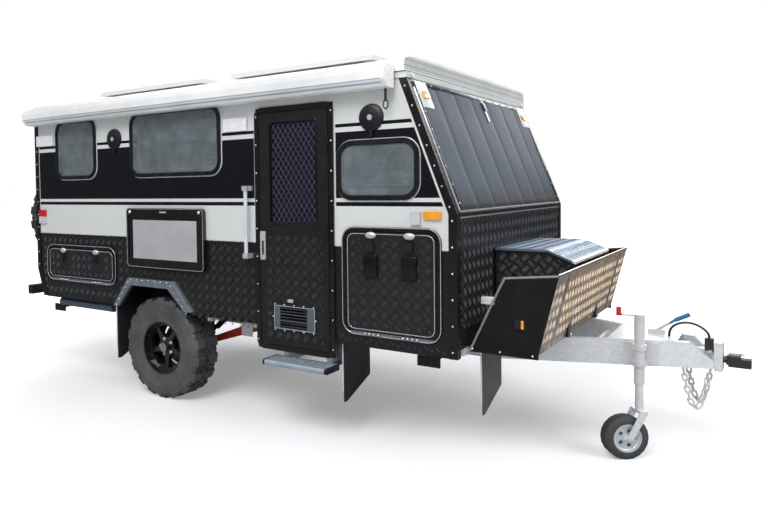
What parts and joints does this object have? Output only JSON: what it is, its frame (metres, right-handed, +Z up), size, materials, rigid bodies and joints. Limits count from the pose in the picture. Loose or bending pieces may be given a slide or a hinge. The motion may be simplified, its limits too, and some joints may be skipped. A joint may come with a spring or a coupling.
{
  "type": "off-road caravan with lifting roof",
  "caption": "Single-axle off-road touring caravan with lifting roof, side awning, drawbar box with stone shield, drop-down hatches, swing door and jockey wheel.",
  "frame": {"origin": "middle of the whole footprint, on the ground the wheels stand on", "axes": "+X forward to the coupling, +Y to the caravan's left, +Z up; the door is on the right"},
  "size_m": [5.6, 2.387, 2.4643],
  "materials": {
    "body_white": "gloss",
    "side_panel": "gloss",
    "hatch_panel": "satin",
    "black_trim": "satin",
    "door_aluminium": "gloss",
    "door_leaf": "gloss",
    "security_screen": "matte",
    "window_glass": "gloss",
    "roof_white": "gloss",
    "solar_glass": "gloss",
    "awning_white": "satin",
    "canvas": "matte",
    "quilted_cover": "satin",
    "galvanised_steel": "satin",
    "black_steel": "satin",
    "red_steel": "satin",
    "coil_and_damper": "satin",
    "checker_plate": "satin",
    "black_checker": "satin",
    "shield_screen": "gloss",
    "arch_plate": "satin",
    "tyre_rubber": "matte",
    "rim_black": "gloss",
    "flap_rubber": "matte",
    "jockey_rubber": "matte",
    "zinc": "satin",
    "lamp_lens": "gloss",
    "speaker": "matte",
    "tank": "matte",
    "floor_ply": "matte",
    "board": "satin",
    "lead": "satin",
    "plug": "satin",
    "table_top": "satin"
  },
  "bodies": {
    "trailer": {"arch_flares": "arch_plate", "awning": "awning_white", "body_trims": "black_trim", "cabin_boards": "board", "cabin_floor": "floor_ply", "chassis_rails": "galvanised_steel", "coupling_mount": "galvanised_steel", "cross_members": "galvanised_steel", "door_frame": "door_aluminium", "flaps": "flap_rubber", "front_box": "black_checker", "front_cover": "quilted_cover", "front_wall": "body_white", "grab_handle": "black_trim", "handbrake": "zinc", "jockey_tube": "zinc", "lamps": "lamp_lens", "lead_plug": "plug", "left_wall": "side_panel", "rear_carrier": "black_steel", "rear_wall": "body_white", "right_wall": "side_panel", "safety_chains": "zinc", "shield_wings": "black_checker", "side_rims": "black_trim", "spare_wheels": "tyre_rubber", "speakers": "speaker", "springs_and_dampers": "coil_and_damper", "stone_shield": "shield_screen", "tent_skirt": "canvas", "top_frame": "body_white", "trailer_lead": "lead", "trailing_arms": "red_steel", "underbody_brackets": "galvanised_steel", "water_tanks": "tank", "window_frames": "black_trim", "window_panes": "window_glass"},
    "road_wheel_right": {"rim_right": "rim_black", "tyre_right": "tyre_rubber"},
    "road_wheel_left": {"rim_left": "rim_black", "tyre_left": "tyre_rubber"},
    "entry_door": {"door_leaf": "door_leaf", "door_screen": "security_screen"},
    "rear_hatch_right": {"rear_hatch_right": "hatch_panel"},
    "rear_hatch_left": {"rear_hatch_left": "hatch_panel"},
    "front_hatch_right": {"front_hatch_right": "hatch_panel"},
    "front_hatch_left": {"front_hatch_left": "hatch_panel"},
    "table_leaf": {"table_leaf": "table_top"},
    "roof": {"roof_shell": "roof_white", "solar_panels": "solar_glass"},
    "box_lid": {"box_lid": "checker_plate"},
    "step": {"step_tread": "checker_plate"},
    "stabiliser_front_right": {"stabiliser_front_right": "black_steel"},
    "stabiliser_front_left": {"stabiliser_front_left": "black_steel"},
    "stabiliser_rear_right": {"stabiliser_rear_right": "black_steel"},
    "stabiliser_rear_left": {"stabiliser_rear_left": "black_steel"},
    "coupling": {"coupling_head": "galvanised_steel"},
    "jockey_leg": {"jockey_leg": "zinc"},
    "jockey_fork": {"jockey_fork": "zinc"},
    "jockey_wheel": {"jockey_wheel": "jockey_rubber"}
  },
  "joints": [
    {"name": "wheel_spin_right", "type": "hinge", "parent": "trailer", "child": "road_wheel_right", "pos_m": [-0.98, -0.8735, 0.395], "axis": [0, 1, 0], "continuous": true},
    {"name": "wheel_spin_left", "type": "hinge", "parent": "trailer", "child": "road_wheel_left", "pos_m": [-0.98, 1.0105, 0.395], "axis": [0, 1, 0], "continuous": true},
    {"name": "door_swing", "type": "hinge", "parent": "trailer", "child": "entry_door", "pos_m": [0.6175, -1.0508, 1.36], "axis": [0, 0, 1], "range_deg": [0, 95]},
    {"name": "rear_hatch_right_drop", "type": "hinge", "parent": "trailer", "child": "rear_hatch_right", "pos_m": [-1.895, -1.0415, 0.8803], "axis": [1, 0, 0], "range_deg": [0, 95]},
    {"name": "rear_hatch_left_drop", "type": "hinge", "parent": "trailer", "child": "rear_hatch_left", "pos_m": [-1.895, 1.1785, 0.8803], "axis": [-1, 0, 0], "range_deg": [0, 95]},
    {"name": "front_hatch_right_drop", "type": "hinge", "parent": "trailer", "child": "front_hatch_right", "pos_m": [1.041, -1.0415, 0.7453], "axis": [1, 0, 0], "range_deg": [0, 95]},
    {"name": "front_hatch_left_drop", "type": "hinge", "parent": "trailer", "child": "front_hatch_left", "pos_m": [1.041, 1.1785, 0.7453], "axis": [-1, 0, 0], "range_deg": [0, 95]},
    {"name": "table_drop", "type": "hinge", "parent": "trailer", "child": "table_leaf", "pos_m": [-0.8545, -1.0378, 1.03], "axis": [1, 0, 0], "range_deg": [0, 90]},
    {"name": "roof_lift", "type": "slide", "parent": "trailer", "child": "roof", "axis": [0, 0, 1], "range_m": [0, 0.38], "deforming": ["tent_skirt"]},
    {"name": "lid_lift", "type": "hinge", "parent": "trailer", "child": "box_lid", "pos_m": [1.468, 0.0685, 1.238], "axis": [0, -1, 0], "range_deg": [0, 80]},
    {"name": "step_slide", "type": "slide", "parent": "trailer", "child": "step", "axis": [0, 1, 0], "range_m": [0, 0.19]},
    {"name": "stabiliser_front_right_drop", "type": "hinge", "parent": "trailer", "child": "stabiliser_front_right", "pos_m": [1.245, -0.5335, 0.6], "axis": [1, 0, 0], "range_deg": [0, 85]},
    {"name": "stabiliser_front_left_drop", "type": "hinge", "parent": "trailer", "child": "stabiliser_front_left", "pos_m": [1.245, 0.6705, 0.6], "axis": [-1, 0, 0], "range_deg": [0, 85]},
    {"name": "stabiliser_rear_right_drop", "type": "hinge", "parent": "trailer", "child": "stabiliser_rear_right", "pos_m": [-2.325, -0.5335, 0.6], "axis": [1, 0, 0], "range_deg": [0, 85]},
    {"name": "stabiliser_rear_left_drop", "type": "hinge", "parent": "trailer", "child": "stabiliser_rear_left", "pos_m": [-2.325, 0.6705, 0.6], "axis": [-1, 0, 0], "range_deg": [0, 85]},
    {"name": "coupling_roll", "type": "hinge", "parent": "trailer", "child": "coupling", "pos_m": [2.662, 0.0685, 0.585], "axis": [1, 0, 0], "range_deg": [-25, 25]},
    {"name": "jockey_screw", "type": "slide", "parent": "trailer", "child": "jockey_leg", "axis": [0, 0, 1], "range_m": [-0.08, 0.14]},
    {"name": "jockey_swivel", "type": "hinge", "parent": "jockey_leg", "child": "jockey_fork", "pos_m": [2.261, -0.2215, 0.2], "axis": [0, 0, 1], "continuous": true},
    {"name": "jockey_spin", "type": "hinge", "parent": "jockey_fork", "child": "jockey_wheel", "pos_m": [2.19072, -0.27446, 0.13], "axis": [-0.6018, 0.7986, 0], "continuous": true}
  ]
}
